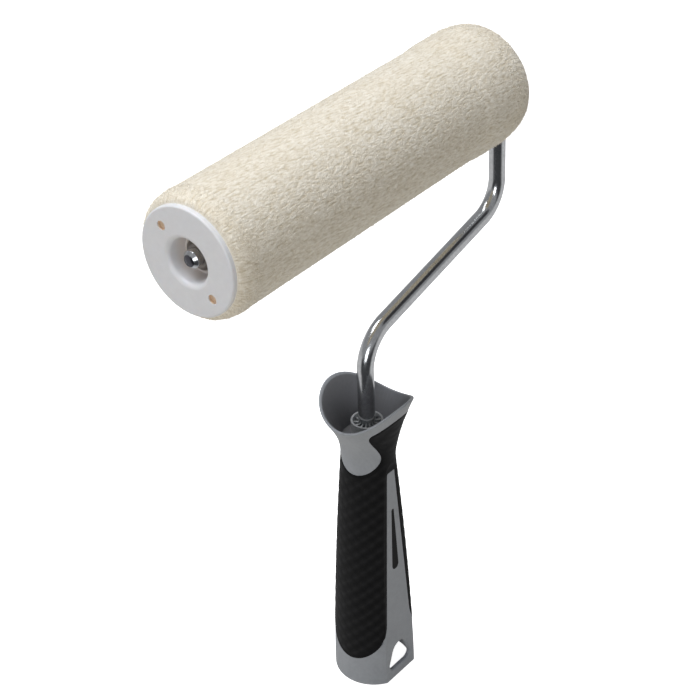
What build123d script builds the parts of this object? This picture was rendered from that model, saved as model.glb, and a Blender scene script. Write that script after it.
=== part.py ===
import os
from math import atan2, cos, radians, sin

from build123d import *

# ---------------------------------------------------------------- roller sleeve
roller_length = 200.0          # over the faces of both end caps
axle_height = 285.0            # axle above the butt of the handle
pile_radius = 28.0             # outside of the pile
pile_depth = 4.0               # pile and its backing
pile_flare = 0.6               # how far the pile swells near the frame's end
pile_round_length = 9.0        # length over which the pile rounds in at its free end
arm_round_length = 12.0        # and at the frame's end
swell_length = 18.0            # length over which it swells before that
pile_lean = 0.25               # how far the pile leans out, for 1 up, as it leaves a cap
core_wall = 1.6
bond_line = 0.02               # between core and cover, and between core and caps

# ---------------------------------------------------------------- end caps and bearings
flange_thickness = 2.2
flange_lip = 0.2               # how far the flange covers the pile backing
skirt_length = 16.0
cap_wall = 1.8
recess_radius = 10.2           # at its mouth
recess_floor_radius = 8.8
recess_depth = 9.0
recess_rounding = 2.2
hub_length = 12.0              # from the floor of the recess inwards
pin_hole_radius = 2.1
pin_hole_depth = 1.5
pin_hole_circle = 17.5
pin_hole_angle = 46.0          # from the horizontal, in the face of the cap
bush_wall = 2.6
bush_flange_radius = 8.2
bush_flange_thickness = 1.0
bearing_clearance = 0.08       # radial, bush on axle
end_play = 0.4                 # axial, between what turns and what doesn't
washer_radius = 7.0
washer_thickness = 0.8
retainer_radius = 6.4
retainer_thickness = 1.6
retainer_dish = 1.0            # slope of its front, radial
stop_length = 3.2
retainer_grip = 0.02           # radial, retainer and stop on the axle

# ---------------------------------------------------------------- wire frame
rod_radius = 4.0
tip_length = 5.0               # axle standing out past the retainer
tip_chamfer = 1.5
free_face_to_handle = 108.0    # free cap face to the handle's axis, along the axle
arm_gap = 12.0                 # arm cap face to the axis of the upright
upright_length = 69.2          # from the axle down to the upper corner
slant_drop = 25.5              # fall of the slanted run towards the handle
top_bend_radius = 10.0
upper_bend_radius = 17.0
lower_bend_radius = 20.0
shank_depth = 80.0             # shank inside the handle, below the socket's top

# ---------------------------------------------------------------- handle
butt_radius = 19.7
neck_height = 129.5
neck_half_x = 11.2
neck_half_y = 13.8
rim_half_x = 21.7
rim_half_y = 22.5
rim_low = 152.9                # rim of the drip guard at its two low sides
rim_high = 166.0               # and at its two high sides
grip_taper = 1.55              # exponent of the taper from butt to neck
flare_power = 1.6              # exponent of the flare from neck to rim
guard_wall = 1.7
guard_backing = 0.8            # hard plastic left behind the soft grip in the drip guard
rim_rounding = 0.6
rim_overrun = 4.0              # how far the flare is drawn past the rim, to be cut off
butt_rounding = 0.8
guard_floor = 138.0
flat_half_butt = 16.5          # the two flats, at the butt
flat_half_neck = 13.2          # and below the neck
flat_top = 120.0
flat_runout_height = 22.0      # the arc that brings each flat out to the round neck
flat_runout_depth = 4.5
butt_wall = 2.2                # the butt is an open shell
butt_cavity_depth = 21.0
pole_socket_radius = 12.5      # the pole's socket starts where the shell ends
pole_socket_top = 58.0
hang_hole_bottom = 5.4
hang_hole_top = 19.8
hang_hole_half_width = 8.0
hang_hole_corner_radius = 3.4  # its two lower corners
hang_hole_crown_radius = 5.6   # its round top
hang_hole_rounding = 1.0       # of its two mouths

# ---------------------------------------------------------------- soft grip and inlays
panel_bottom = 15.6            # lowest point of the two panels
panel_half_width = 16.3
panel_round = 17.5             # height of their rounded lower end
band_height = 5.9              # hard band left bare under the rim
strip_half_top = 2.7
strip_top = 123.4
strip_corner = 0.9             # rounding of its top corners
strip_half_waist = 8.9         # it is straight-sided above this height
strip_waist = 36.5
strip_half_foot = 11.5         # and spreads into the butt below it
strip_foot = 28.0
strip_spread = 0.6             # sideways for 1 down, where it meets the butt
tongue_radius = 12.4
tongue_centre = 135.6
tongue_waist = 11.4            # half its width at its narrowest
tongue_waist_height = 146.5
tongue_mouth = 14.2            # half its width just above where it meets the band under the rim
tongue_mouth_height = 152.5
inlay_bottom = 66.0
inlay_top = 101.7
inlay_half_bottom = 2.4
inlay_half_top = 0.9
inlay_depth = 1.0

# ---------------------------------------------------------------- socket for the shank
socket_radius = 7.6
socket_wall = 0.9
socket_top = 148.0
socket_bottom = 118.0
socket_web_drop = 4.0          # its solid floor lies this far below the top
socket_rib_drop = 1.6
socket_ribs = 12
socket_rib_thickness = 0.9
moulded_fit = 0.02             # radial, hard plastic round the shank and the socket

# ---------------------------------------------------------------- worked out from the above
free_face = -free_face_to_handle
arm_face = free_face + roller_length
upright_x = arm_face + arm_gap
core_radius = pile_radius - pile_depth
core_bore = core_radius - core_wall
flange_radius = core_radius + flange_lip
skirt_radius = core_bore - bond_line
grip_thickness = guard_wall - guard_backing
bush_bore = rod_radius + bearing_clearance
bush_radius = bush_bore + bush_wall
grip_bore = rod_radius + retainer_grip
axle = Axis((0, 0, axle_height), (1, 0, 0))
reach = 2 * rim_half_y         # clear of the handle on every side
station_pitch = 8.5            # spacing of the sections that shape the handle

os.makedirs("parts", exist_ok=True)


def write(part, name):
    """Label a finished piece and write its file."""
    part.label = name
    export_step(part, f"parts/{name}.step")


def ring(inner, outer, start, length):
    """A plain ring round the axle, from start along +X."""
    with BuildPart() as body:
        with BuildSketch(Plane.YZ.offset(start)):
            with Locations((0, axle_height)):
                Circle(outer)
                Circle(inner, mode=Mode.SUBTRACT)
        extrude(amount=length)
    return body.part


def turned(points):
    """A solid of revolution about the axle, from (x, radius) corners."""
    with BuildPart() as body:
        with BuildSketch(Plane.XZ):
            with BuildLine():
                Polyline(*[(x, axle_height + r) for x, r in points], close=True)
            make_face()
        revolve(axis=axle)
    return body.part


def end_cap(face, inward):
    """One end cap: flange, skirt, recess and hub. inward is +1 or -1 along X."""
    cup = recess_radius + cap_wall
    hub = bush_radius + cap_wall
    floor = recess_depth + cap_wall
    hub_end = recess_depth + hub_length
    outline = [
        (0, recess_radius), (0, flange_radius),
        (flange_thickness, flange_radius), (flange_thickness, skirt_radius),
        (skirt_length, skirt_radius), (skirt_length, skirt_radius - cap_wall),
        (flange_thickness, skirt_radius - cap_wall), (flange_thickness, cup),
        (floor, cup), (floor, hub), (hub_end, hub), (hub_end, bush_radius),
        (recess_depth, bush_radius), (recess_depth, recess_floor_radius),
    ]
    with BuildPart() as cap:
        with BuildSketch(Plane.XZ) as profile:
            with BuildLine():
                Polyline(*[(face + inward * d, axle_height + r) for d, r in outline], close=True)
            make_face()
            outer = profile.vertices().group_by(Axis.Y)[-1]
            fillet(outer.sort_by(Axis.X)[0 if inward > 0 else -1], cap_wall / 2)
            mouth = profile.vertices().filter_by_position(
                Axis.Y, axle_height + recess_radius - 0.01, axle_height + recess_radius + 0.01)
            fillet(mouth, recess_rounding)
        revolve(axis=axle)
        with BuildSketch(Plane.YZ.offset(face)):
            for turn in (0, 180):
                angle = radians(pin_hole_angle + turn)
                with Locations((pin_hole_circle * cos(angle), axle_height + pin_hole_circle * sin(angle))):
                    Circle(pin_hole_radius)
        extrude(amount=inward * pin_hole_depth, mode=Mode.SUBTRACT)
        # the bush's flange is let into the floor of the recess
        with BuildSketch(Plane.YZ.offset(face + inward * recess_depth)):
            with Locations((0, axle_height)):
                Circle(bush_flange_radius)
        extrude(amount=inward * bush_flange_thickness, mode=Mode.SUBTRACT)
    return cap.part


def bush(face, inward):
    """A flanged bearing bush in the hub of one cap."""
    seat = face + inward * recess_depth
    return turned([
        (seat, bush_bore), (seat, bush_flange_radius),
        (seat + inward * bush_flange_thickness, bush_flange_radius),
        (seat + inward * bush_flange_thickness, bush_radius),
        (seat + inward * hub_length, bush_radius), (seat + inward * hub_length, bush_bore),
    ])


# ---------------------------------------------------------------- cover and core
cover_start = free_face + flange_thickness
cover_end = arm_face - flange_thickness
cover_inner = axle_height + core_radius + bond_line
cover_outer = axle_height + pile_radius
edge_height = axle_height + flange_radius + flange_lip
with BuildPart() as pile_cover:
    with BuildSketch(Plane.XZ):
        with BuildLine():
            free_round = Spline(
                (cover_start, edge_height), (cover_start + pile_round_length, cover_outer),
                tangents=[(pile_lean, 1), (1, 0)])
            top = Line(free_round @ 1, (cover_end - arm_round_length - swell_length, cover_outer))
            swell = Spline(
                top @ 1, (cover_end - arm_round_length, cover_outer + pile_flare),
                (cover_end, edge_height), tangents=[(1, 0), (-pile_lean, -1)])
            Polyline(swell @ 1, (cover_end, cover_inner), (cover_start, cover_inner), free_round @ 0)
        make_face()
    revolve(axis=axle)
write(pile_cover.part, "pile_cover")

core_tube = ring(core_bore, core_radius, cover_start, cover_end - cover_start)
write(core_tube, "core_tube")

# ---------------------------------------------------------------- caps, bushes, washers
write(end_cap(free_face, 1), "free_end_cap")
write(end_cap(arm_face, -1), "arm_end_cap")
write(bush(free_face, 1), "free_end_bush")
write(bush(arm_face, -1), "arm_end_bush")

free_seat = free_face + recess_depth
arm_seat = arm_face - recess_depth
free_washer_x = free_seat - end_play - washer_thickness
arm_washer_x = arm_seat + end_play
write(ring(bush_bore, washer_radius, free_washer_x, washer_thickness), "free_end_washer")
write(ring(bush_bore, washer_radius, arm_washer_x, washer_thickness), "arm_end_washer")

retainer_x = free_washer_x - retainer_thickness
write(turned([
    (free_washer_x, grip_bore), (free_washer_x, retainer_radius),
    (free_washer_x - retainer_thickness / 3, retainer_radius),
    (retainer_x, grip_bore + retainer_dish), (retainer_x, grip_bore),
]), "push_nut")
write(ring(grip_bore, retainer_radius, arm_washer_x + washer_thickness, stop_length),
      "arm_end_stop")

# ---------------------------------------------------------------- wire frame
tip_x = retainer_x - tip_length
upper_corner = axle_height - upright_length
lower_corner = upper_corner - slant_drop
shank_end = socket_top - shank_depth
with BuildPart() as frame_rod:
    with BuildLine(Plane.XZ) as wire:
        FilletPolyline(
            (tip_x, axle_height), (upright_x, axle_height), (upright_x, upper_corner),
            (0, lower_corner), (0, shank_end),
            radius=[top_bend_radius, upper_bend_radius, lower_bend_radius])
    with BuildSketch(Plane((tip_x, 0, axle_height), x_dir=(0, 1, 0), z_dir=(1, 0, 0))):
        Circle(rod_radius)
    sweep(path=wire.wires()[0])
    chamfer(frame_rod.edges().group_by(Axis.X)[0], tip_chamfer)
write(frame_rod.part, "frame_rod")


# ---------------------------------------------------------------- handle shapes
def half_widths(height):
    """Half widths in X and Y of the handle's outside at a height."""
    if height <= neck_height:
        taper = (height / neck_height) ** grip_taper
        return (butt_radius + (neck_half_x - butt_radius) * taper,
                butt_radius + (neck_half_y - butt_radius) * taper)
    rise_x = ((height - neck_height) / (rim_low - neck_height)) ** flare_power
    rise_y = ((height - neck_height) / (rim_high - neck_height)) ** flare_power
    return (neck_half_x + (rim_half_x - neck_half_x) * rise_x,
            neck_half_y + (rim_half_y - neck_half_y) * rise_y)


def outside(inset, bottom, top):
    """The handle's outside, drawn in by inset, from one height to another."""
    steps = round((top - bottom) / station_pitch)
    with BuildPart() as body:
        for step in range(steps + 1):
            height = bottom + (top - bottom) * step / steps
            half_x, half_y = half_widths(height)
            with BuildSketch(Plane.XY.offset(height)):
                Ellipse(half_x - inset, half_y - inset)
        loft()
    return body.part


def flat_cut(inset):
    """What lies outside the two flats, drawn in by inset, as a pair of long bars."""
    run_out_top = flat_top + flat_runout_height
    with BuildPart() as body:
        with BuildSketch(Plane.YZ):
            with BuildLine():
                face = Line((flat_half_butt - inset, 0), (flat_half_neck - inset, flat_top))
                run_out = TangentArc(
                    face @ 1, (flat_half_neck - inset + flat_runout_depth, run_out_top), tangent=face % 1)
                Polyline(run_out @ 1, (reach, run_out_top), (reach, 0), face @ 0)
            make_face()
        extrude(amount=reach, both=True)
        mirror(about=Plane.XZ)
    return body.part


def saddle_cut(drop):
    """What lies above the saddle-shaped rim, lowered by drop: a parabola carried along X."""
    low = rim_low - drop
    high = low + (rim_high - rim_low) * (reach / rim_half_y) ** 2
    with BuildPart() as body:
        with BuildSketch(Plane.YZ):
            with BuildLine():
                rim = Bezier((-reach, high), (0, 2 * low - high), (reach, high))
                Polyline(rim @ 1, (reach, high + reach), (-reach, high + reach), rim @ 0)
            make_face()
        extrude(amount=reach, both=True)
    return body.part


def strips():
    """The two hard strips, one on each flat: straight sides that spread into the butt."""
    with BuildPart() as body:
        with BuildSketch(Plane.XZ) as outline:
            with BuildLine():
                side = Line((strip_half_top, strip_top), (strip_half_waist, strip_waist))
                spread = Spline(
                    side @ 1, (strip_half_foot, strip_foot), tangents=[side % 1, (strip_spread, -1)])
                Polyline(spread @ 1, (strip_half_foot, 0), (0, 0), (0, strip_top), side @ 0)
            make_face()
            mirror(about=Plane.YZ)
            fillet(outline.vertices().group_by(Axis.Y)[-1].sort_by(Axis.X)[0::2], strip_corner)
        extrude(amount=reach, both=True)
    return body.part


def tongues():
    """The thumb rests on both sides: a round end, a slight waist, then open to the rim above."""
    with BuildPart() as body:
        with BuildSketch(Plane.YZ):
            with BuildLine():
                end = CenterArc((0, tongue_centre), tongue_radius, -90, 90)
                waist = Spline(
                    end @ 1, (tongue_waist, tongue_waist_height), tangents=[(0, 1), (0, 1)])
                mouth = Spline(
                    waist @ 1, (tongue_mouth, tongue_mouth_height), tangents=[(0, 1), (1, 1)])
                Polyline(mouth @ 1, (tongue_mouth, rim_high), (0, rim_high), end @ 0)
            make_face()
            mirror(about=Plane.YZ)
        extrude(amount=reach, both=True)
    return body.part


def panel_mask():
    """All that lies above the rounded lower ends of the two panels."""
    centre = panel_bottom + panel_round
    with BuildPart() as body:
        with BuildSketch(Plane.YZ):
            with Locations((0, centre)):
                Ellipse(panel_half_width, panel_round)
            with Locations((0, centre)):
                Rectangle(2 * reach, 2 * rim_high, align=(Align.CENTER, Align.MIN))
        extrude(amount=reach, both=True)
    return body.part


# ---------------------------------------------------------------- soft grip
envelope_top = rim_high + rim_overrun
with BuildPart() as skin:
    add(outside(0, 0, envelope_top))
    add(flat_cut(0), mode=Mode.SUBTRACT)
    add(saddle_cut(0), mode=Mode.SUBTRACT)
    fillet(skin.edges().group_by(Axis.Z)[0], butt_rounding)

with BuildPart() as grip_core:
    add(outside(grip_thickness, 0, envelope_top))
    add(flat_cut(grip_thickness), mode=Mode.SUBTRACT)

with BuildPart() as soft_grip:
    add(skin.part)
    add(grip_core.part, mode=Mode.SUBTRACT)
    add(saddle_cut(band_height), mode=Mode.SUBTRACT)
    add(strips(), mode=Mode.SUBTRACT)
    add(tongues(), mode=Mode.SUBTRACT)
    add(panel_mask(), mode=Mode.INTERSECT)
write(soft_grip.part, "soft_grip")

# ---------------------------------------------------------------- inlays
flat_lean = atan2(flat_half_butt - flat_half_neck, flat_top)
inlays = []
for side, name in ((-1, "front_inlay"), (1, "rear_inlay")):
    normal = (0, side * cos(flat_lean), sin(flat_lean))
    flat = Plane((0, side * flat_half_butt, 0), x_dir=(1, 0, 0), z_dir=normal)
    along = 1 / cos(flat_lean)
    with BuildPart() as inlay:
        with BuildSketch(flat):
            with BuildLine():
                low = -side * inlay_bottom * along
                high = -side * inlay_top * along
                inner = low - side * inlay_half_bottom
                outer = high + side * inlay_half_top
                ThreePointArc((-inlay_half_bottom, inner), (0, low), (inlay_half_bottom, inner))
                Line((inlay_half_bottom, inner), (inlay_half_top, outer))
                ThreePointArc((inlay_half_top, outer), (0, high), (-inlay_half_top, outer))
                Line((-inlay_half_top, outer), (-inlay_half_bottom, inner))
            make_face()
        extrude(amount=-inlay_depth)
    inlays.append(inlay.part)
    write(inlay.part, name)

# ---------------------------------------------------------------- socket for the shank
socket_floor = socket_top - socket_web_drop
bore = rod_radius + moulded_fit
with BuildPart() as rod_socket:
    with BuildSketch(Plane.XY.offset(socket_bottom)):
        Circle(socket_radius)
        Circle(bore, mode=Mode.SUBTRACT)
    extrude(amount=socket_floor - socket_bottom)
    with BuildSketch(Plane.XY.offset(socket_floor)):
        Circle(socket_radius)
        Circle(socket_radius - socket_wall, mode=Mode.SUBTRACT)
    extrude(amount=socket_top - socket_floor)
    with BuildSketch(Plane.XY.offset(socket_floor)):
        with PolarLocations(0, socket_ribs):
            with Locations(((bore + socket_radius - socket_wall / 2) / 2, 0)):
                Rectangle(socket_radius - socket_wall / 2 - bore, socket_rib_thickness)
        Circle(bore, mode=Mode.SUBTRACT)
    extrude(amount=socket_web_drop - socket_rib_drop)
write(rod_socket.part, "rod_socket")

# ---------------------------------------------------------------- handle
with BuildPart() as butt_cavity:
    add(outside(butt_wall, 0, butt_cavity_depth))
    add(flat_cut(butt_wall), mode=Mode.SUBTRACT)

with BuildPart() as handle_body:
    add(skin.part)
    add(outside(guard_wall, guard_floor, envelope_top), mode=Mode.SUBTRACT)
    fillet(handle_body.faces().sort_by(Axis.Z)[-1].edges(), rim_rounding)
    add(soft_grip.part, mode=Mode.SUBTRACT)
    for inlay in inlays:
        add(inlay, mode=Mode.SUBTRACT)
    with BuildSketch(Plane.XY.offset(socket_bottom)):
        Circle(socket_radius + moulded_fit)
    extrude(amount=guard_floor - socket_bottom, mode=Mode.SUBTRACT)
    with BuildSketch(Plane.XY.offset(shank_end)):
        Circle(bore)
    extrude(amount=socket_bottom - shank_end, mode=Mode.SUBTRACT)
    add(butt_cavity.part, mode=Mode.SUBTRACT)
    with BuildSketch():
        Circle(pole_socket_radius)
    extrude(amount=pole_socket_top, mode=Mode.SUBTRACT)
    corner_x = hang_hole_half_width - hang_hole_corner_radius
    with BuildSketch(Plane.XZ):
        with Locations((-corner_x, hang_hole_bottom + hang_hole_corner_radius),
                       (corner_x, hang_hole_bottom + hang_hole_corner_radius)):
            Circle(hang_hole_corner_radius)
        with Locations((0, hang_hole_top - hang_hole_crown_radius)):
            Circle(hang_hole_crown_radius)
        make_hull()
    extrude(amount=2 * butt_radius, both=True, mode=Mode.SUBTRACT)
    mouth = flat_half_butt - butt_wall + hang_hole_rounding
    mouths = [edge for edge in handle_body.edges(Select.LAST)
              if abs((edge @ 0).Y) > mouth and abs((edge @ 1).Y) > mouth]
    fillet(mouths, hang_hole_rounding)
write(handle_body.part, "handle_body")
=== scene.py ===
import math

import bpy
import numpy as np
from mathutils import Matrix, Vector


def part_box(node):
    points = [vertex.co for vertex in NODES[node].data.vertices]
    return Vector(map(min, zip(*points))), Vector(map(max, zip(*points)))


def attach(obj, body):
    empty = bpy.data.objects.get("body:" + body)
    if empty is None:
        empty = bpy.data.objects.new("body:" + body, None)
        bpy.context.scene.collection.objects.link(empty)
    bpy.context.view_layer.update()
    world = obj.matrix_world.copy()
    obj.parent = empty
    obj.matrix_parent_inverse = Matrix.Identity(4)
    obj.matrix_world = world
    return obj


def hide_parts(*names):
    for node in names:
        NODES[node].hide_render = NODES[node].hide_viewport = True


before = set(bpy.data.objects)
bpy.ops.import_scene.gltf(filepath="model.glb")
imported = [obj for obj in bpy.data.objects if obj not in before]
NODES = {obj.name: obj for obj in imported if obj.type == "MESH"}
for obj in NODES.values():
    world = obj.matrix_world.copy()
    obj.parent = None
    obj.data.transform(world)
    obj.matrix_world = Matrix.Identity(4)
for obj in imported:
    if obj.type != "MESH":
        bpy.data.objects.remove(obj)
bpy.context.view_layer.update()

MM = 0.001


# ---------------------------------------------------------------- meshes from arrays
def grid_faces(rows, columns, close_rows, close_columns):
    """Four-sided faces of a rows by columns grid of points, joined round where it closes."""
    last_row = rows if close_rows else rows - 1
    last_column = columns if close_columns else columns - 1
    r, c = np.meshgrid(np.arange(last_row), np.arange(last_column), indexing="ij")
    r2, c2 = (r + 1) % rows, (c + 1) % columns
    corners = [r * columns + c, r * columns + c2, r2 * columns + c2, r2 * columns + c]
    return np.stack([k.ravel() for k in corners], axis=1)


def make_piece(name, points, faces, body, material, smooth=True):
    """A mesh object from an array of points and an array of faces that all have as many corners."""
    points = np.asarray(points, float).reshape(-1, 3)
    corners = faces.shape[1]
    mesh = bpy.data.meshes.new(name)
    mesh.vertices.add(len(points))
    mesh.vertices.foreach_set("co", points.astype(np.float32).ravel())
    mesh.loops.add(faces.size)
    mesh.loops.foreach_set("vertex_index", faces.astype(np.int32).ravel())
    mesh.polygons.add(len(faces))
    mesh.polygons.foreach_set("loop_start", np.arange(0, faces.size, corners, dtype=np.int32))
    mesh.polygons.foreach_set("use_smooth", np.full(len(faces), smooth))
    mesh.update(calc_edges=True)
    mesh.validate()
    mesh.materials.append(material)
    piece = bpy.data.objects.new(name, mesh)
    bpy.context.scene.collection.objects.link(piece)
    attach(piece, body)
    return piece


def add_vectors(piece, name, values):
    """Keeps a vector for each point, for a material to read."""
    layer = piece.data.attributes.new(name, "FLOAT_VECTOR", "POINT")
    layer.data.foreach_set("vector", np.asarray(values, np.float32).ravel())


def smooth_step(low, high, value):
    """0 below low, 1 above high, and a smooth S between them."""
    t = np.clip((value - low) / (high - low), 0, 1)
    return t * t * (3 - 2 * t)


def cell_random(i, j, seed):
    """A fixed random number from 0 to 1 for each whole-number cell: the fraction of a large sine."""
    return np.modf(np.abs(np.sin(i * 127.1 + j * 311.7 + seed * 74.7) * 43758.5453))[0]


def tuft_field(along, around, girth, length, count, slant, seed):
    """Heights from 0 to about 1 of tufts packed on a tube.

    Each cell of a lattice, length long and girth / count wide, holds one tuft at a random place in
    it. A tuft is a dome stretched along a slanted direction, and the height is the smooth highest
    of the nine nearest domes.
    """
    width = girth / count
    i0, j0 = np.floor(along / length), np.floor(around / width)
    c, s = math.cos(slant), math.sin(slant)
    total = np.zeros_like(along)
    sharpness = 7.0
    for di in (-1, 0, 1):
        for dj in (-1, 0, 1):
            i, j = i0 + di, j0 + dj
            ring = np.mod(j, count)
            x = (i + 0.5 + 0.8 * (cell_random(i, ring, seed) - 0.5)) * length - along
            y = (j + 0.5 + 0.8 * (cell_random(i, ring, seed + 1) - 0.5)) * width - around
            p = (x * c + y * s) / (1.05 * length)
            q = (y * c - x * s) / (0.80 * width)
            dome = 0.55 + 0.45 * cell_random(i, ring, seed + 2) - (p * p + q * q)
            total += np.exp(sharpness * dome)
    return np.log(total) / sharpness


# ---------------------------------------------------------------- shader building
def node_tree(tree):
    """Two short functions for a node tree: one adds a node with its values, one links two sockets."""
    def add(kind, values=None, **settings):
        node = tree.nodes.new(kind)
        for key, value in settings.items():
            setattr(node, key, value)
        for key, value in (values or {}).items():
            node.inputs[key].default_value = value
        return node

    def link(source, target):
        tree.links.new(source, target)
    return add, link


def formula(add, link):
    """A short function for sums in a node tree: it takes an operation and up to three sockets or numbers."""
    def work(operation, *values, clamp=False):
        node = add("ShaderNodeMath", operation=operation, use_clamp=clamp)
        for socket, value in zip(node.inputs, values):
            if isinstance(value, (int, float)):
                socket.default_value = value
            else:
                link(value, socket)
        return node.outputs[0]
    return work


def step_mask(add, link, value, low, high):
    """A mask that is 0 where value is at low and 1 where it is at high."""
    node = add("ShaderNodeMapRange", {"From Min": low, "From Max": high}, interpolation_type="SMOOTHSTEP")
    link(value, node.inputs["Value"])
    return node.outputs[0]


def tint(add, link, mask, source, color, target):
    """Blends a plain colour over a source by a mask, into a target socket."""
    mix = add("ShaderNodeMix", {7: (*color, 1)}, data_type="RGBA")
    link(mask, mix.inputs[0])
    link(source, mix.inputs[6])
    link(mix.outputs[2], target)
    return mix.outputs[2]


def shared_group(name, inputs, outputs):
    """An empty shader group with named inputs, as (kind, value), and named outputs."""
    group = bpy.data.node_groups.new(name, "ShaderNodeTree")
    for key, (kind, value) in inputs.items():
        socket = group.interface.new_socket(key, in_out="INPUT", socket_type=kind)
        socket.default_value = value
    for key, kind in outputs.items():
        group.interface.new_socket(key, in_out="OUTPUT", socket_type=kind)
    add, link = node_tree(group)
    return group, add, link, add("NodeGroupInput"), add("NodeGroupOutput")


def make_mottle():
    """Soft uneven colour: two sizes of noise blend a lighter and a darker colour."""
    group, add, link, given, out = shared_group(
        "mottle",
        {"Vector": ("NodeSocketVector", (0, 0, 0)), "Light": ("NodeSocketColor", (1, 1, 1, 1)),
         "Dark": ("NodeSocketColor", (0, 0, 0, 1)), "Scale": ("NodeSocketFloat", 60.0),
         "Spread": ("NodeSocketFloat", 1.0)},
        {"Color": "NodeSocketColor", "Mask": "NodeSocketFloat"})
    large = add("ShaderNodeTexNoise", {"Detail": 3.0, "Roughness": 0.6})
    finer = add("ShaderNodeMath", operation="MULTIPLY")
    finer.inputs[1].default_value = 9.0
    small = add("ShaderNodeTexNoise", {"Detail": 2.0, "Roughness": 0.5})
    mean = add("ShaderNodeMath", operation="ADD")
    range_ = add("ShaderNodeMapRange", {"From Min": 0.75, "From Max": 1.25})
    spread = add("ShaderNodeMath", operation="MULTIPLY")
    mix = add("ShaderNodeMix", data_type="RGBA")
    link(given.outputs["Vector"], large.inputs["Vector"])
    link(given.outputs["Scale"], large.inputs["Scale"])
    link(given.outputs["Scale"], finer.inputs[0])
    link(given.outputs["Vector"], small.inputs["Vector"])
    link(finer.outputs[0], small.inputs["Scale"])
    link(large.outputs["Fac"], mean.inputs[0])
    link(small.outputs["Fac"], mean.inputs[1])
    link(mean.outputs[0], range_.inputs["Value"])
    link(range_.outputs[0], spread.inputs[0])
    link(given.outputs["Spread"], spread.inputs[1])
    link(spread.outputs[0], mix.inputs[0])
    link(given.outputs["Light"], mix.inputs[6])
    link(given.outputs["Dark"], mix.inputs[7])
    link(mix.outputs[2], out.inputs["Color"])
    link(spread.outputs[0], out.inputs["Mask"])
    return group


def make_grain():
    """Moulded or rubbed surface grain: a height from fine noise and pits, and a roughness about a middle."""
    group, add, link, given, out = shared_group(
        "grain",
        {"Vector": ("NodeSocketVector", (0, 0, 0)), "Scale": ("NodeSocketFloat", 900.0),
         "Middle": ("NodeSocketFloat", 0.5), "Swing": ("NodeSocketFloat", 0.1)},
        {"Height": "NodeSocketFloat", "Roughness": "NodeSocketFloat"})
    noise = add("ShaderNodeTexNoise", {"Detail": 4.0, "Roughness": 0.65})
    pits = add("ShaderNodeTexVoronoi", feature="SMOOTH_F1")
    sum_ = add("ShaderNodeMath", operation="ADD")
    coarse = add("ShaderNodeMath", operation="MULTIPLY")
    coarse.inputs[1].default_value = 0.06
    patches = add("ShaderNodeTexNoise", {"Detail": 3.0})
    centred = add("ShaderNodeMath", operation="SUBTRACT")
    centred.inputs[1].default_value = 0.5
    swing = add("ShaderNodeMath", operation="MULTIPLY_ADD")
    link(given.outputs["Vector"], noise.inputs["Vector"])
    link(given.outputs["Scale"], noise.inputs["Scale"])
    link(given.outputs["Vector"], pits.inputs["Vector"])
    link(given.outputs["Scale"], pits.inputs["Scale"])
    link(noise.outputs["Fac"], sum_.inputs[0])
    link(pits.outputs["Distance"], sum_.inputs[1])
    link(sum_.outputs[0], out.inputs["Height"])
    link(given.outputs["Scale"], coarse.inputs[0])
    link(given.outputs["Vector"], patches.inputs["Vector"])
    link(coarse.outputs[0], patches.inputs["Scale"])
    link(patches.outputs["Fac"], centred.inputs[0])
    link(centred.outputs[0], swing.inputs[0])
    link(given.outputs["Swing"], swing.inputs[1])
    link(given.outputs["Middle"], swing.inputs[2])
    link(swing.outputs[0], out.inputs["Roughness"])
    return group


MOTTLE = make_mottle()
GRAIN = make_grain()


def finish_material(name, light, dark, mottle_scale, spread, grain_scale, roughness, swing, bump,
                    fixed=None, attribute=None):
    """A mottled, grained material. fixed holds plain values for the shader's own sockets.

    attribute names the vector that its patterns follow; without one they follow Object
    coordinates. Returns the material, its shader, its colour's source and the two helpers.
    """
    material = bpy.data.materials.new(name)
    material.use_nodes = True
    tree = material.node_tree
    tree.nodes.clear()
    add, link = node_tree(tree)
    out = add("ShaderNodeOutputMaterial")
    shader = add("ShaderNodeBsdfPrincipled", fixed or {})
    if attribute:
        source = add("ShaderNodeAttribute", attribute_name=attribute).outputs["Vector"]
    else:
        source = add("ShaderNodeTexCoord").outputs["Object"]
    mottle = add("ShaderNodeGroup", node_tree=MOTTLE)
    mottle.inputs["Light"].default_value = (*light, 1)
    mottle.inputs["Dark"].default_value = (*dark, 1)
    mottle.inputs["Scale"].default_value = mottle_scale
    mottle.inputs["Spread"].default_value = spread
    grain = add("ShaderNodeGroup", node_tree=GRAIN)
    grain.inputs["Scale"].default_value = grain_scale
    grain.inputs["Middle"].default_value = roughness
    grain.inputs["Swing"].default_value = swing
    relief = add("ShaderNodeBump", {"Strength": bump[0], "Distance": bump[1]})
    link(source, mottle.inputs["Vector"])
    link(source, grain.inputs["Vector"])
    link(mottle.outputs["Color"], shader.inputs["Base Color"])
    link(grain.outputs["Roughness"], shader.inputs["Roughness"])
    link(grain.outputs["Height"], relief.inputs["Height"])
    link(relief.outputs["Normal"], shader.inputs["Normal"])
    link(shader.outputs[0], out.inputs["Surface"])
    return material, shader, mottle, add, link


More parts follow.
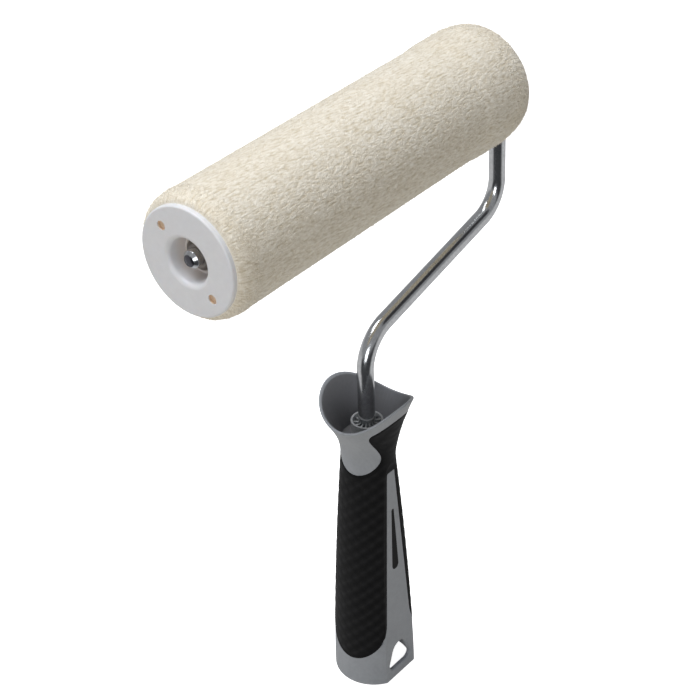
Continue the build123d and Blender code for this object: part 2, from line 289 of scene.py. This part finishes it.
# ---------------------------------------------------------------- materials
def make_plush():
    """Cream knitted pile: a soft sheen, and painted shade in the valleys between tufts: a darker, warmer
    colour there.
    """
    material, shader, mottle, add, link = finish_material(
        "cream_pile", (0.92, 0.875, 0.785), (0.85, 0.79, 0.68), 55.0, 1.0, 1500.0, 0.92, 0.08,
        (0.55, 0.0004),
        {"Sheen Weight": 0.35, "Sheen Roughness": 0.45, "Sheen Tint": (0.86, 0.93, 1.0, 1.0),
         "Specular IOR Level": 0.15})
    # painted shade: the lower a point lies between the tufts, the more it takes of the darker, warmer valley
    # colour
    depth = add("ShaderNodeAttribute", attribute_name="tuft_height")
    shade = add("ShaderNodeMapRange", {"From Min": 0.25, "From Max": 0.8})
    root = add("ShaderNodeMix", {6: (0.58, 0.50, 0.37, 1)}, data_type="RGBA")
    link(depth.outputs["Fac"], shade.inputs["Value"])
    link(shade.outputs[0], root.inputs[0])
    link(mottle.outputs["Color"], root.inputs[7])
    link(root.outputs[2], shader.inputs["Base Color"])
    return material


def make_zinc():
    """Bright zinc on drawn wire: fine lines along the wire, faint duller patches, and a darker end face at
    the tip.
    """
    material, shader, mottle, add, link = finish_material(
        "bright_zinc", (0.70, 0.71, 0.72), (0.57, 0.58, 0.59), 90.0, 1.0, 700.0, 0.19, 0.14,
        (0.12, 0.0002), {"Metallic": 1.0}, attribute="draw")
    source = add("ShaderNodeAttribute", attribute_name="draw")
    stretch = add("ShaderNodeMapping", {"Scale": (1, 1, 0.02)})
    lines = add("ShaderNodeTexNoise", {"Scale": 2600.0, "Detail": 3.0, "Roughness": 0.7})
    relief = add("ShaderNodeBump", {"Strength": 0.10, "Distance": 0.0001})
    link(source.outputs["Vector"], stretch.inputs["Vector"])
    link(stretch.outputs[0], lines.inputs["Vector"])
    link(lines.outputs["Fac"], relief.inputs["Height"])
    link(relief.outputs["Normal"], shader.inputs["Normal"])
    parts = add("ShaderNodeSeparateXYZ")
    link(source.outputs["Vector"], parts.inputs[0])
    # near-black colour on the wire's end face, fading out by 0.2 mm along it
    dark_end_face = step_mask(add, link, parts.outputs["Z"], 0.00020, 0.00005)
    tint(add, link, dark_end_face, mottle.outputs["Color"], (0.10, 0.10, 0.115), shader.inputs["Base Color"])
    return material


def make_white_plastic():
    """White moulded plastic, with painted shade down the recess of each cap, warmer and darker there, and
    warmer and darker in its two pin holes.
    """
    material, shader, mottle, add, link = finish_material(
        "white_moulding", (0.72, 0.72, 0.742), (0.69, 0.69, 0.71), 40.0, 1.0, 800.0, 0.36, 0.10,
        (0.05, 0.0001),
        {"Subsurface Weight": 0.15, "Subsurface Radius": (1.0, 0.7, 0.5), "Subsurface Scale": 0.0015})
    work = formula(add, link)
    parts = add("ShaderNodeSeparateXYZ")
    link(add("ShaderNodeTexCoord").outputs["Object"], parts.inputs[0])
    low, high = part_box("free_end_cap")[0].x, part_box("arm_end_cap")[1].x
    from_middle = work("ABSOLUTE", work("SUBTRACT", parts.outputs["X"], (low + high) / 2))
    depth = work("SUBTRACT", (high - low) / 2, from_middle)
    rise = work("SUBTRACT", parts.outputs["Z"], AXLE)
    radius = work("SQRT", work("ADD", work("MULTIPLY", rise, rise),
                               work("MULTIPLY", parts.outputs["Y"], parts.outputs["Y"])))
    # painted shade: a warmer, darker colour down the recess of each cap, fading in from 2 to 7 mm in from the
    # face and inside 11 to 12.5 mm of the axle
    inside = work("MULTIPLY", step_mask(add, link, depth, 0.0020, 0.0070),
                  step_mask(add, link, radius, 0.0125, 0.0110))
    recess = tint(add, link, inside, mottle.outputs["Color"], (0.74, 0.685, 0.65),
                  shader.inputs["Base Color"])
    angle = math.radians(PIN_ANGLE)
    along = work("ADD", work("MULTIPLY", parts.outputs["Y"], math.cos(angle)),
                 work("MULTIPLY", rise, math.sin(angle)))
    across = work("SUBTRACT", work("MULTIPLY", parts.outputs["Y"], math.sin(angle)),
                  work("MULTIPLY", rise, math.cos(angle)))
    off_centre = work("SUBTRACT", work("ABSOLUTE", along), PIN_CIRCLE)
    near = work("SQRT", work("ADD", work("MULTIPLY", off_centre, off_centre),
                             work("MULTIPLY", across, across)))
    pins = work("MULTIPLY", step_mask(add, link, near, 0.0023, 0.0021),
                step_mask(add, link, depth, 0.0002, 0.0008))
    tint(add, link, pins, recess, (0.74, 0.56, 0.40), shader.inputs["Base Color"])
    return material


def make_grey_plastic():
    """Grey moulded plastic with a fine grain, and painted shade on the inside of the drip guard: darker
    there.
    """
    material, shader, mottle, add, link = finish_material(
        "grey_moulding", (0.335, 0.352, 0.382), (0.30, 0.316, 0.343), 70.0, 1.0, 1300.0, 0.46, 0.12,
        (0.22, 0.00012))
    work = formula(add, link)
    parts = add("ShaderNodeSeparateXYZ")
    link(add("ShaderNodeTexCoord").outputs["Object"], parts.inputs[0])
    height = work("SUBTRACT", parts.outputs["Z"], NECK * MM)
    squares = []
    for axis, neck, rim, top in (("X", NECK_X, RIM_X, RIM_LOW), ("Y", NECK_Y, RIM_Y, RIM_HIGH)):
        rise = work("POWER", work("MAXIMUM", work("DIVIDE", height, (top - NECK) * MM), 0.0), FLARE_POWER)
        half = work("MULTIPLY_ADD", rise, (rim - neck) * MM, (neck - 1.3) * MM)
        share = work("DIVIDE", parts.outputs[axis], half)
        squares.append(work("MULTIPLY", share, share))
    # painted shade: a darker colour over the inside of the drip guard, above its floor
    inside = work("MULTIPLY", step_mask(add, link, work("ADD", *squares), 0.99, 0.95),
                  step_mask(add, link, parts.outputs["Z"],
                            (GUARD_FLOOR - 0.3) * MM, (GUARD_FLOOR + 0.3) * MM))
    tint(add, link, inside, mottle.outputs["Color"], (0.170, 0.172, 0.185), shader.inputs["Base Color"])
    return material


def make_rubber():
    """Soft black rubber with a painted highlight: a little lighter on the ridges between its diamonds."""
    material, shader, mottle, add, link = finish_material(
        "black_rubber", (0.0085, 0.0085, 0.0090), (0.0062, 0.0062, 0.0066), 60.0, 1.0, 1700.0, 0.58, 0.14,
        (0.20, 0.0001), {"Specular IOR Level": 0.12})
    # painted highlight: a lighter colour on the ridges, read from the grip's per-point attribute
    ridge_highlight = add("ShaderNodeAttribute", attribute_name="ridge_highlight")
    tint(add, link, ridge_highlight.outputs["Fac"], mottle.outputs["Color"], (0.0180, 0.0180, 0.0192),
         shader.inputs["Base Color"])
    return material


# ---------------------------------------------------------------- sizes that the CAD pieces share
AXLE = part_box("free_end_cap")[0].z / 2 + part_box("free_end_cap")[1].z / 2
PIN_CIRCLE = 17.5 * MM
PIN_ANGLE = 46.0
UPRIGHT_LENGTH = 69.2 * MM     # of the wire, from the axle down to its upper corner
SLANT_DROP = 25.5 * MM
BEND_RADII = [10 * MM, 17 * MM, 20 * MM]
TIP_CHAMFER = 1.5 * MM
BUTT = 19.7                    # the handle's sizes are in mm: its half width at the butt
NECK, NECK_X, NECK_Y = 129.5, 11.2, 13.8
RIM_LOW, RIM_HIGH, RIM_X, RIM_Y = 152.9, 166.0, 21.7, 22.5
TAPER_POWER, FLARE_POWER = 1.55, 1.6
FLAT_BUTT, FLAT_NECK, FLAT_TOP = 16.5, 13.2, 120.0
GUARD_FLOOR = 137.3            # just below the floor inside the drip guard

PLUSH = make_plush()
ZINC = make_zinc()
WHITE = make_white_plastic()
GREY = make_grey_plastic()
SOCKET_GREY = finish_material(
    "socket_moulding", (0.36, 0.37, 0.38), (0.30, 0.31, 0.32), 90.0, 1.0, 1300.0, 0.42, 0.12,
    (0.15, 0.0001))[0]
RUBBER = make_rubber()
NYLON = finish_material(
    "natural_nylon", (0.62, 0.55, 0.51), (0.54, 0.47, 0.43), 120.0, 1.0, 900.0, 0.42, 0.1,
    (0.08, 0.0001), {"Subsurface Weight": 0.1, "Subsurface Scale": 0.001})[0]
CORE = finish_material(
    "tan_core", (0.56, 0.42, 0.26), (0.46, 0.33, 0.19), 80.0, 1.0, 500.0, 0.6, 0.1, (0.2, 0.0002))[0]
STEEL = finish_material(
    "plated_steel", (0.34, 0.31, 0.285), (0.25, 0.23, 0.21), 220.0, 1.0, 1200.0, 0.42, 0.2,
    (0.1, 0.0001), {"Metallic": 1.0})[0]

for node, material in {
    "core_tube": CORE, "free_end_cap": WHITE, "arm_end_cap": WHITE, "free_end_bush": NYLON,
    "arm_end_bush": NYLON, "free_end_washer": STEEL, "arm_end_washer": STEEL, "push_nut": STEEL,
    "arm_end_stop": STEEL, "handle_body": GREY, "front_inlay": RUBBER, "rear_inlay": RUBBER,
    "rod_socket": SOCKET_GREY,
}.items():
    for entry in NODES[node].material_slots:
        entry.material = material


# ---------------------------------------------------------------- pile cover
COVER_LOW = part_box("pile_cover")[0]
CAP_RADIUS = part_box("free_end_cap")[1].y
CORE_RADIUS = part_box("core_tube")[1].y
PILE_RADIUS = 28.0 * MM
FREE_ROUND = 7.5 * MM          # length over which the pile rounds in at the free end
ARM_ROUND = 13.0 * MM          # and at the frame's end
SWELL = 0.7 * MM               # how much fuller it is before it rounds in there
BULGE = 2.0 * MM               # and how far it bulges out past its end


def cover_outline(spacing):
    """Closed outline of the cover as x and radius, evenly spaced: quarter ellipses at both ends."""
    start, end = COVER_LOW.x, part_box("core_tube")[1].x
    edge = CAP_RADIUS + 0.2 * MM
    x = np.concatenate([
        start + FREE_ROUND * (1 - np.cos(np.linspace(0, math.pi / 2, 200))),
        np.linspace(start + FREE_ROUND, end - ARM_ROUND, 400)[1:-1],
        end - ARM_ROUND * (1 - np.sin(np.linspace(0, math.pi / 2, 200))),
    ])
    full = PILE_RADIUS + SWELL * smooth_step(end - 35 * MM, end - ARM_ROUND - 13 * MM, x)
    near = np.clip((x - start) / FREE_ROUND, 0, 1)
    far = np.clip((end - x) / ARM_ROUND, 0, 1)
    bulge = np.sqrt(1 - (1 - near) ** 2) * np.sqrt(1 - (1 - far) ** 2)
    radius = edge + (full - edge) * bulge
    x = x + np.where(far < 1, BULGE * 4 * bulge * (1 - bulge), 0)
    inner = CORE_RADIUS + 0.05 * MM
    x = np.concatenate([[start], x, [end, end, start, start]])
    radius = np.concatenate([[edge], radius, [edge, inner, inner, edge]])
    step = np.concatenate([[0], np.cumsum(np.hypot(np.diff(x), np.diff(radius)))])
    outer_length = step[-4]
    at = np.concatenate([
        np.arange(0, outer_length, spacing),
        np.linspace(outer_length, step[-3], 3)[:-1],
        np.linspace(step[-3], step[-2], 40)[:-1],
        np.linspace(step[-2], step[-1], 3)[:-1],
    ])
    return np.interp(at, step, x), np.interp(at, step, radius), at, outer_length


def make_cover():
    """The pile as a tube: its outline is carried round the axle, and tufts lift it along its normal."""
    spacing = 0.50 * MM
    x, radius, at, outer_length = cover_outline(spacing)
    girth = 2 * math.pi * PILE_RADIUS
    columns = round(girth / (0.30 * MM))
    angle = np.arange(columns) * 2 * math.pi / columns
    along, around = np.meshgrid(at, angle * PILE_RADIUS, indexing="ij")
    lean = math.radians(6)
    warp = 0.15 * MM * np.sin(along / (6.1 * MM) + 3 * np.sin(3 * around / PILE_RADIUS))
    tufts = tuft_field(along, around + warp, girth, 2.3 * MM, 196, lean, 1.0)
    locks = tuft_field(along + warp, around, girth, 1.6 * MM, 280, lean, 5.0)
    swells = tuft_field(along, around, girth, 9.0 * MM, 24, 2 * lean, 9.0)
    dx = np.gradient(x, at)
    dr = np.gradient(radius, at)
    size = np.hypot(dx, dr) + 1e-12
    fade = smooth_step(0, 1.5 * MM, at) * (at < outer_length)
    fade *= 1 - smooth_step(outer_length - 1.5 * MM, outer_length, at)
    fade = np.where(at < outer_length, fade, 0)[:, None]
    height = 0.50 * tufts + 0.42 * locks + 0.25 * swells
    lift = fade * MM * (0.40 * (height - 0.85))
    r = radius[:, None] + lift * (dx / size)[:, None]
    px = x[:, None] - lift * (dr / size)[:, None]
    points = np.stack([px, -r * np.sin(angle), AXLE + r * np.cos(angle)], axis=-1)
    faces = grid_faces(len(x), columns, True, True)[:, ::-1]
    cover = make_piece("cover_pile", points, faces, "roller", PLUSH)
    # tuft_height drives the painted valley shade of the pile; points that the tufts don't lift take 0.7
    layer = cover.data.attributes.new("tuft_height", "FLOAT", "POINT")
    depth = np.clip(0.25 + 0.75 * (0.6 * tufts + 0.4 * locks - 0.2), 0, 1)
    layer.data.foreach_set("value", np.where(fade > 0, depth, 0.7).astype(np.float32).ravel())
    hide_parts("pile_cover")
    return points[:int(outer_length / spacing)]


def make_fibres(surface, count):
    """Loose fibre ends on the pile: thin three-sided spikes, rooted on the surface and leaning at random."""
    rng = np.random.default_rng(7)
    rows, columns = surface.shape[:2]
    ends = np.concatenate([rng.integers(2, 24, count // 5), rng.integers(rows - 34, rows - 3, count // 5)])
    row = np.concatenate([ends, rng.integers(2, rows - 3, count - len(ends))])
    column = rng.integers(0, columns, count)
    root = surface[row, column]
    next_row, next_column = surface[row + 1, column], surface[row, (column + 1) % columns]
    outward = root - np.array([0, 0, AXLE])
    outward[:, 0] = 0
    outward /= np.linalg.norm(outward, axis=1)[:, None]
    normal = np.cross(next_row - root, next_column - root)
    normal /= np.linalg.norm(normal, axis=1)[:, None]
    normal *= np.sign((normal * outward).sum(1))[:, None]
    way = 0.6 * normal + 0.4 * outward + 0.45 * rng.normal(size=(count, 3))
    way /= np.linalg.norm(way, axis=1)[:, None]
    side = np.cross(way, rng.normal(size=(count, 3)))
    side /= np.linalg.norm(side, axis=1)[:, None]
    third = np.cross(way, side)
    length = rng.uniform(0.35, 1.0, count)[:, None] * MM
    width = rng.uniform(0.07, 0.12, count)[:, None] * MM
    foot = root - 0.15 * MM * way
    turn = [(math.cos(a), math.sin(a)) for a in (0, 2 * math.pi / 3, 4 * math.pi / 3)]
    base = [foot + width * (c * side + s * third) for c, s in turn]
    points = np.stack([*base, foot + (length + 0.15 * MM) * way], axis=1)
    first = 4 * np.arange(count)[:, None]
    faces = np.concatenate([first + np.array(f) for f in ((0, 2, 1), (0, 1, 3), (1, 2, 3), (2, 0, 3))])
    fibres = make_piece("cover_fibres", points, faces, "roller", PLUSH, smooth=False)
    # the fibres take the full pile colour, with none of the painted valley shade
    layer = fibres.data.attributes.new("tuft_height", "FLOAT", "POINT")
    layer.data.foreach_set("value", np.ones(4 * count, np.float32))
    return fibres


make_fibres(make_cover(), 26000)


# ---------------------------------------------------------------- wire frame
WIRE_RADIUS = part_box("frame_rod")[1].y
WIRE_LOW, WIRE_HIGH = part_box("frame_rod")


def rounded_path(corners, radii, spacing):
    """Points and lengths along a path of straight runs, each corner replaced by an arc that touches both."""
    corners = [np.array(c, float) for c in corners]
    points = [corners[0]]
    for before, corner, after, radius in zip(corners, corners[1:], corners[2:], radii):
        a = (before - corner) / np.linalg.norm(before - corner)
        b = (after - corner) / np.linalg.norm(after - corner)
        half = math.acos(a @ b) / 2
        middle = corner + (a + b) / np.linalg.norm(a + b) * radius / math.sin(half)
        start = corner + a * radius / math.tan(half)
        spoke = (start - middle) / radius
        sweep = math.pi - 2 * half
        turn = np.linspace(0, sweep, max(8, int(radius * sweep / spacing)))
        points += list(middle + radius * (np.outer(np.cos(turn), spoke) - np.outer(np.sin(turn), a)))
    points.append(corners[-1])
    points = np.array(points)
    length = np.concatenate([[0], np.cumsum(np.linalg.norm(np.diff(points, axis=0), axis=1))])
    return points, length


def make_wire():
    """The drawn wire: a circle carried along the bent path in the plane of the frame.

    Its radius shrinks over the chamfered tip. Small flats are pressed into the inside of the upper
    bend: each is a dip that fades with distance along and round the wire.
    """
    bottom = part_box("frame_rod")[0].z
    upright = WIRE_HIGH.x - WIRE_RADIUS
    high = AXLE - UPRIGHT_LENGTH
    low = high - SLANT_DROP
    corners = [(WIRE_LOW.x, AXLE), (upright, AXLE), (upright, high), (0, low), (0, bottom)]
    path, length = rounded_path(corners, BEND_RADII, 0.8 * MM)
    bend_at = length[np.argmin(np.linalg.norm(path - np.array([upright, high]), axis=1))]
    at = np.unique(np.concatenate([
        length, [0, 0.12 * MM, TIP_CHAMFER * 0.9, TIP_CHAMFER, TIP_CHAMFER * 1.15],
        np.arange(0, length[-1], 3 * MM),
        np.arange(bend_at - 14 * MM, bend_at + 14 * MM, 0.5 * MM)]))
    at = at[np.concatenate([[True], (np.diff(at) > 0.3 * MM) | (at[1:] < 2 * MM)])]
    x, z = np.interp(at, length, path[:, 0]), np.interp(at, length, path[:, 1])
    tx, tz = np.gradient(x, at), np.gradient(z, at)
    size = np.hypot(tx, tz)
    tx, tz = tx / size, tz / size
    radius = WIRE_RADIUS - np.clip(TIP_CHAMFER - at, 0, TIP_CHAMFER)
    turn = np.arange(48) * 2 * math.pi / 48
    around, along = np.meshgrid(turn, at)
    inside = np.mod(around - math.pi, 2 * math.pi)
    gap = np.minimum(np.abs(inside), 2 * math.pi - np.abs(inside))
    dents = np.zeros_like(along)
    for place, wide, deep in ((-7.5, 1.6, 0.09), (-4.6, 1.3, 0.06), (3.8, 1.6, 0.08), (6.6, 1.3, 0.05)):
        dents += deep * MM * np.exp(-((along - bend_at - place * MM) / (wide * MM)) ** 2 - (gap / 0.8) ** 2)
    r = radius[:, None] - dents
    cx, cy = np.cos(around), np.sin(around)
    points = np.stack([x[:, None] + r * cx * tz[:, None], r * cy, z[:, None] - r * cx * tx[:, None]], axis=-1)
    flat = points.reshape(-1, 3)
    rows, columns = points.shape[:2]
    faces = grid_faces(rows, columns, False, True)
    tip = np.array([[x[0], 0, z[0]], [x[-1], 0, z[-1]]])
    ring = np.arange(columns)
    following = (ring + 1) % columns
    start = np.stack([ring, following, np.full(columns, len(flat)), np.full(columns, len(flat))], axis=1)
    end = (rows - 1) * columns
    close = np.stack([end + following, end + ring, np.full(columns, len(flat) + 1),
                      np.full(columns, len(flat) + 1)], axis=1)
    triangles = np.concatenate([start, close])[:, :3]
    faces = np.concatenate([faces[:, [0, 1, 2]], faces[:, [0, 2, 3]], triangles[:, ::-1]])
    wire = make_piece("bent_wire", np.concatenate([flat, tip]), faces[:, ::-1], "frame_and_handle",
                      ZINC)
    draw = np.stack([r * cx, r * cy, along + 0 * r], axis=-1).reshape(-1, 3)
    add_vectors(wire, "draw", np.concatenate([draw, [[0, 0, 0], [0, 0, at[-1]]]]))
    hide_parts("frame_rod")


make_wire()


# ---------------------------------------------------------------- soft grip
BAND = 5.9                     # height of the hard band left bare under the rim
PANEL_WIDTH, PANEL_ROUND, PANEL_CENTRE = 16.3, 17.5, 33.1
STRIP_TOP_WIDTH, STRIP_TOP = 2.7, 123.4
STRIP_WAIST_WIDTH, STRIP_WAIST = 8.9, 36.5
STRIP_CORNER = 0.9
TONGUE_RADIUS, TONGUE_CENTRE = 12.4, 135.6
TONGUE_WAIST = 146.5
GRIP_THICKNESS = 0.8
DIAMOND_WIDTH, DIAMOND_HEIGHT = 5.6, 6.6
MEAN_RADIUS = 15.0
GRID_LOW, GRID_HIGH = 15.0, 157.5


def skin(turn, height):
    """A point on the handle's outside, in mm: an ellipse at each height, cut by the two flats.

    turn goes round the ellipse from +X. The half widths taper from the butt to the neck and flare
    from there to the rim, each by a power of the height. Above FLAT_TOP each flat runs out along
    a parabola.
    """
    taper = np.clip(height / NECK, 0, 1) ** TAPER_POWER
    rise_x = np.clip((height - NECK) / (RIM_LOW - NECK), 0, None) ** FLARE_POWER
    rise_y = np.clip((height - NECK) / (RIM_HIGH - NECK), 0, None) ** FLARE_POWER
    half_x = BUTT + (NECK_X - BUTT) * taper + (RIM_X - NECK_X) * rise_x
    half_y = BUTT + (NECK_Y - BUTT) * taper + (RIM_Y - NECK_Y) * rise_y
    flat = FLAT_BUTT + (FLAT_NECK - FLAT_BUTT) * height / FLAT_TOP
    over = np.clip(height - FLAT_TOP, 0, None)
    flat = np.where(height > FLAT_TOP, FLAT_NECK - 0.0275 * over + 0.01055 * over ** 2, flat)
    x = half_x * np.cos(turn)
    y = half_y * np.sin(turn)
    return x, np.clip(y, -flat, flat), height


def inside_grip(x, y, height):
    """How far a point of the skin lies inside the rubber's outline, in mm; negative is outside.

    It is the least of the distances to the panels' round lower ends, the hard strips, the thumb
    rests and the hard band under the rim.
    """
    panel = 16.9 * (1 - np.hypot(y / PANEL_WIDTH, (height - PANEL_CENTRE) / PANEL_ROUND))
    panel = np.where(height < PANEL_CENTRE, panel, 9.0)
    foot = smooth_step(0, 1, (STRIP_WAIST - height) / 8.5 * 0.5) * 2
    narrowing = (STRIP_TOP_WIDTH - STRIP_WAIST_WIDTH) / (STRIP_TOP - STRIP_WAIST)
    half = np.where(height > STRIP_WAIST, STRIP_WAIST_WIDTH + narrowing * (height - STRIP_WAIST),
                    STRIP_WAIST_WIDTH + 2.6 * foot)
    beside, above = np.abs(x) - half, height - STRIP_TOP
    corner = np.hypot(np.clip(beside + STRIP_CORNER, 0, None), np.clip(above + STRIP_CORNER, 0, None))
    strip = np.where((beside > -STRIP_CORNER) & (above > -STRIP_CORNER), corner - STRIP_CORNER,
                     np.maximum(beside, above))
    round_end = np.hypot(y, height - TONGUE_CENTRE) - TONGUE_RADIUS
    half = (TONGUE_RADIUS - 1.0 * smooth_step(TONGUE_CENTRE, TONGUE_WAIST, height)
            + np.clip((height - TONGUE_WAIST) / 5.0, 0, 1.2) ** 2 * 1.8)
    upper = np.where(height > TONGUE_CENTRE, np.abs(y) - half, 9.0)
    band = RIM_LOW - BAND + (RIM_HIGH - RIM_LOW) * (y / RIM_Y) ** 2 - height
    return np.minimum.reduce([panel, strip, round_end, upper, band])


def make_grip():
    """The soft grip: a fine grid on the skin, cut to the rubber's outline and raised in diamonds.

    Cells with their middle inside the outline stay, and the points on their edge move onto it.
    Two families of slanting grooves cross, and the height between them is a flat-topped pyramid.
    A per-point attribute holds a painted highlight for the rubber: highest between the grooves, mostly those
    of the second family.
    """
    rows, columns = 250, 230
    turn, height = np.meshgrid(np.arange(columns) * 2 * math.pi / columns,
                               np.linspace(GRID_LOW, GRID_HIGH, rows))
    step_t, step_h = 2 * math.pi / columns, (GRID_HIGH - GRID_LOW) / (rows - 1)
    middle = inside_grip(*skin(turn + step_t / 2, height + step_h / 2))
    cells = grid_faces(rows, columns, False, True)
    keep = (middle[:-1] > 0).ravel()
    cells = cells[keep]
    uses = np.zeros(rows * columns, int)
    np.add.at(uses, cells.ravel(), 1)
    rim = ((uses > 0) & (uses < 4)).reshape(rows, columns)
    for _ in range(4):
        value = inside_grip(*skin(turn, height))
        d = 1e-3
        slope_t = (inside_grip(*skin(turn + d, height)) - value) / d
        slope_h = (inside_grip(*skin(turn, height + d)) - value) / d
        squared = (slope_t / MEAN_RADIUS) ** 2 + slope_h ** 2 + 1e-6
        move = np.clip(value * slope_t / MEAN_RADIUS ** 2 / squared, -0.03, 0.03)
        turn = np.where(rim, turn - move, turn)
        height = np.where(rim, height - np.clip(value * slope_h / squared, -0.4, 0.4), height)
    x, y, z = skin(turn, height)
    d = 1e-3
    ax, ay, az = skin(turn + d, height)
    bx, by, bz = skin(turn, height + d)
    normal = np.cross(np.stack([ax - x, ay - y, az - z], -1), np.stack([bx - x, by - y, bz - z], -1))
    normal /= np.linalg.norm(normal, axis=-1)[..., None] + 1e-12
    inside = np.clip(inside_grip(x, y, z), 0, None)
    side = np.where(np.cos(turn) >= 0, 1, -1)
    across = side * MEAN_RADIUS * np.arcsin(np.clip(y / 19.0, -1, 1))
    one = np.mod(across / DIAMOND_WIDTH + z / DIAMOND_HEIGHT, 1)
    two = np.mod(across / DIAMOND_WIDTH - z / DIAMOND_HEIGHT, 1)
    one, two = 1 - np.abs(2 * one - 1), 1 - np.abs(2 * two - 1)
    pyramid = np.clip(np.minimum(one, two) / 0.75, 0, 1)
    flat_area = smooth_step(1.0, 2.2, inside)
    relief = flat_area * 0.14 * (pyramid - 1)
    proud = 0.20 * smooth_step(0, 0.7, inside) - 0.05
    points = np.stack([x, y, z], -1) + normal * (proud + relief)[..., None]
    used = np.nonzero(uses)[0]
    index = np.full(rows * columns, -1)
    index[used] = np.arange(len(used))
    grip = make_piece("diamond_grip", points.reshape(-1, 3)[used] * MM, index[cells],
                      "frame_and_handle", RUBBER)
    # painted highlight: lighter rubber on the ridges, weighted mostly to the second family of grooves
    layer = grip.data.attributes.new("ridge_highlight", "FLOAT", "POINT")
    ridge_highlight = flat_area * (0.3 * one + 0.7 * two) ** 2
    layer.data.foreach_set("value", ridge_highlight.reshape(-1)[used].astype(np.float32))
    shell = grip.modifiers.new("thickness", "SOLIDIFY")
    shell.thickness = GRIP_THICKNESS * MM
    shell.offset = -1
    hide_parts("soft_grip")


make_grip()


# ---------------------------------------------------------------- floor, light, camera
def make_floor():
    """A plain pale floor under the tool, bright to the camera and dimmer to bounced light."""
    material = bpy.data.materials.new("pale_floor")
    material.use_nodes = True
    tree = material.node_tree
    tree.nodes.clear()
    add, link = node_tree(tree)
    out = add("ShaderNodeOutputMaterial")
    seen = add("ShaderNodeBsdfDiffuse", {"Color": (0.95, 0.95, 0.95, 1)})
    glow = add("ShaderNodeEmission", {"Color": (1, 1, 1, 1), "Strength": 0.95})
    both = add("ShaderNodeAddShader")
    bounce = add("ShaderNodeBsdfDiffuse", {"Color": (0.66, 0.62, 0.54, 1)})
    path = add("ShaderNodeLightPath")
    mix = add("ShaderNodeMixShader")
    link(seen.outputs[0], both.inputs[0])
    link(glow.outputs[0], both.inputs[1])
    link(path.outputs["Is Camera Ray"], mix.inputs[0])
    link(bounce.outputs[0], mix.inputs[1])
    link(both.outputs[0], mix.inputs[2])
    link(mix.outputs[0], out.inputs["Surface"])
    mesh = bpy.data.meshes.new("floor")
    half = 40.0
    corners = [(-half, -half, 0), (half, -half, 0), (half, half, 0), (-half, half, 0)]
    mesh.from_pydata(corners, [], [(0, 1, 2, 3)])
    mesh.materials.append(material)
    floor = bpy.data.objects.new("floor", mesh)
    bpy.context.scene.collection.objects.link(floor)
    floor.visible_glossy = False


def make_softbox(name, place, aim, size, power, color):
    """A square soft light at place that faces aim."""
    light = bpy.data.lights.new(name, "AREA")
    light.shape = "SQUARE"
    light.size = size
    light.energy = power
    light.color = color
    lamp = bpy.data.objects.new(name, light)
    lamp.location = place
    lamp.rotation_mode = "QUATERNION"
    lamp.rotation_quaternion = (Vector(aim) - Vector(place)).to_track_quat("-Z", "Y")
    bpy.context.scene.collection.objects.link(lamp)


def make_studio(dark_side):
    """The room as a sky: pale all round, dark towards the viewer's side, and with one dark panel overhead."""
    world = bpy.data.worlds.new("studio")
    bpy.context.scene.world = world
    world.use_nodes = True
    tree = world.node_tree
    tree.nodes.clear()
    add, link = node_tree(tree)
    out = add("ShaderNodeOutputWorld")
    sky = add("ShaderNodeBackground", {"Strength": 1.0})
    way = add("ShaderNodeTexCoord")
    dot = add("ShaderNodeVectorMath", operation="DOT_PRODUCT")
    dot.inputs[1].default_value = dark_side
    room = add("ShaderNodeMapRange", {"From Min": 0.30, "From Max": 0.62}, interpolation_type="SMOOTHSTEP")
    parts = add("ShaderNodeSeparateXYZ")
    rise = add("ShaderNodeMapRange", {"From Min": -0.05, "From Max": 0.25}, interpolation_type="SMOOTHSTEP")
    below = add("ShaderNodeMix", {6: (0.60, 0.60, 0.605, 1), 7: (0.05, 0.052, 0.055, 1)}, data_type="RGBA")
    whole = add("ShaderNodeMix", {7: (0.30, 0.305, 0.315, 1)}, data_type="RGBA")
    flag = add("ShaderNodeVectorMath", operation="DOT_PRODUCT")
    flag.inputs[1].default_value = Vector((0.35, -0.60, 0.72)).normalized()
    link(way.outputs["Generated"], flag.inputs[0])
    link(way.outputs["Generated"], dot.inputs[0])
    link(way.outputs["Generated"], parts.inputs[0])
    link(dot.outputs["Value"], room.inputs["Value"])
    link(parts.outputs["Z"], rise.inputs["Value"])
    link(room.outputs[0], below.inputs[0])
    link(rise.outputs[0], whole.inputs[0])
    link(below.outputs[2], whole.inputs[6])
    tint(add, link, step_mask(add, link, flag.outputs["Value"], 0.93, 0.98), whole.outputs[2],
         (0.03, 0.03, 0.033), sky.inputs["Color"])
    link(sky.outputs[0], out.inputs["Surface"])


def make_camera():
    """A long lens from the free end's side, above, turned a little about its own axis."""
    lens = bpy.data.cameras.new("camera")
    lens.lens = 100.71
    lens.sensor_width = 36.0
    lens.clip_start, lens.clip_end = 0.05, 100
    camera = bpy.data.objects.new("camera", lens)
    azimuth, elevation, roll = map(math.radians, (-50.428, 33.335, -2.209))
    turn = (Matrix.Rotation(azimuth, 4, "Z") @ Matrix.Rotation(math.pi / 2 - elevation, 4, "X")
            @ Matrix.Rotation(roll, 4, "Z"))
    camera.matrix_world = Matrix.Translation((-0.5744, -0.46615, 0.67322)) @ turn
    bpy.context.scene.collection.objects.link(camera)
    bpy.context.scene.camera = camera
    return camera


make_floor()
camera = make_camera()
towards = camera.matrix_world.to_3x3() @ Vector((0, 0, 1))
make_studio((towards.x / math.hypot(towards.x, towards.y), towards.y / math.hypot(towards.x, towards.y), 0))
make_softbox("overhead", (-0.25, 0.25, 1.5), (0, 0, 0.25), 0.9, 17.0, (0.97, 0.985, 1.0))
make_softbox("front_fill", (-1.4, -0.75, 0.5), (0, 0, 0.15), 0.7, 6.0, (0.95, 0.97, 1.0))
scene = bpy.context.scene
scene.view_settings.view_transform = "Standard"
scene.view_settings.look = "None"
